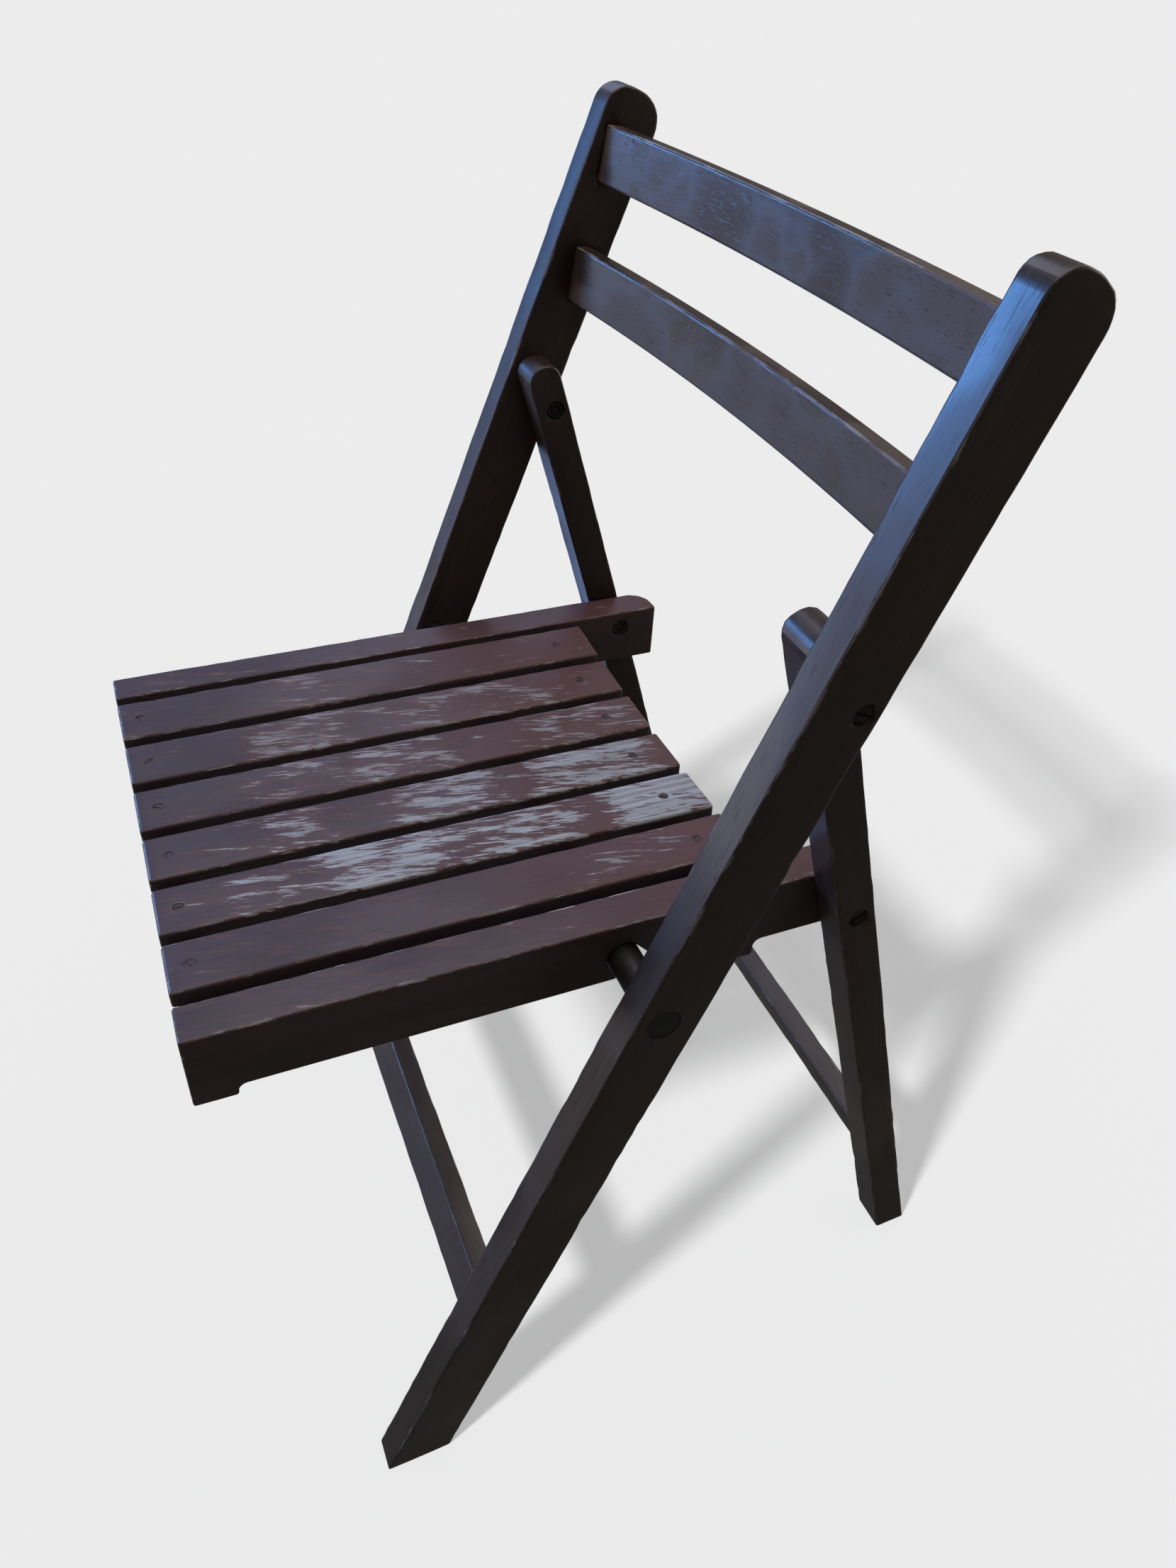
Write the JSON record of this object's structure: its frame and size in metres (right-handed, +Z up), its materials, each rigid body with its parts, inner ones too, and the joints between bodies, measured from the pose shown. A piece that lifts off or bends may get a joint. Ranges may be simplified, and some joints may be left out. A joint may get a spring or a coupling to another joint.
{
  "type": "folding chair",
  "caption": "Wooden folding chair with a dished slatted seat, bowed back slats and rear legs that swing in under the back rails.",
  "frame": {"origin": "bottom centre of the whole open chair, on the floor", "axes": "+Z up, the sitter faces -Y, +X is the sitter's left, lateral symmetry plane at X = 0"},
  "size_m": [0.458, 0.4893, 0.771],
  "materials": {
    "frame_wood": "dark brown stained hardwood, worn satin lacquer with paler rubbed edges",
    "back_wood": "dark reddish brown stained hardwood, satin lacquer",
    "seat_wood": "dark reddish brown stained hardwood, weathered, rubbed grey along the grain",
    "aged_steel": "dull aged steel, darkened"
  },
  "bodies": {
    "front_frame": {"long_rail_left": "frame_wood", "long_rail_right": "frame_wood", "back_slat_upper": "back_wood", "back_slat_lower": "back_wood", "front_stretcher": "frame_wood", "seat_support_bar": "frame_wood", "leg_pivot_bolt_left": "aged_steel", "leg_pivot_bolt_right": "aged_steel", "leg_pivot_nut_left": "aged_steel", "leg_pivot_nut_right": "aged_steel", "leg_pivot_washer_left": "aged_steel", "leg_pivot_washer_right": "aged_steel"},
    "rear_frame": {"rear_leg_left": "frame_wood", "rear_leg_right": "frame_wood", "rear_stretcher": "frame_wood", "seat_pivot_bolt_left": "aged_steel", "seat_pivot_bolt_right": "aged_steel", "seat_pivot_nut_left": "aged_steel", "seat_pivot_nut_right": "aged_steel", "seat_pivot_washer_left": "aged_steel", "seat_pivot_washer_right": "aged_steel"},
    "seat": {"seat_side_rail_left": "seat_wood", "seat_side_rail_right": "seat_wood", "seat_slat_1": "seat_wood", "seat_slat_2": "seat_wood", "seat_slat_3": "seat_wood", "seat_slat_4": "seat_wood", "seat_slat_5": "seat_wood", "seat_slat_6": "seat_wood", "seat_batten_front": "seat_wood", "seat_batten_rear": "seat_wood", "slat_screw_front_1": "aged_steel", "slat_screw_front_2": "aged_steel", "slat_screw_front_3": "aged_steel", "slat_screw_front_4": "aged_steel", "slat_screw_front_5": "aged_steel", "slat_screw_front_6": "aged_steel", "slat_screw_rear_1": "aged_steel", "slat_screw_rear_2": "aged_steel", "slat_screw_rear_3": "aged_steel", "slat_screw_rear_4": "aged_steel", "slat_screw_rear_5": "aged_steel", "slat_screw_rear_6": "aged_steel"}
  },
  "joints": [
    {"name": "rear_leg_fold", "type": "hinge", "parent": "front_frame", "child": "rear_frame", "pos_m": [0, 0.1031, 0.57559], "axis": [-1, 0, 0], "range_deg": [0, 30.5]},
    {"name": "seat_fold", "type": "hinge", "parent": "rear_frame", "child": "seat", "pos_m": [0, 0.14199, 0.3982], "axis": [-1, 0, 0], "range_deg": [0, 68.7]}
  ],
  "couplings": [
    {"joint": "seat_fold", "follows": "rear_leg_fold", "ratio": 2.25}
  ]
}
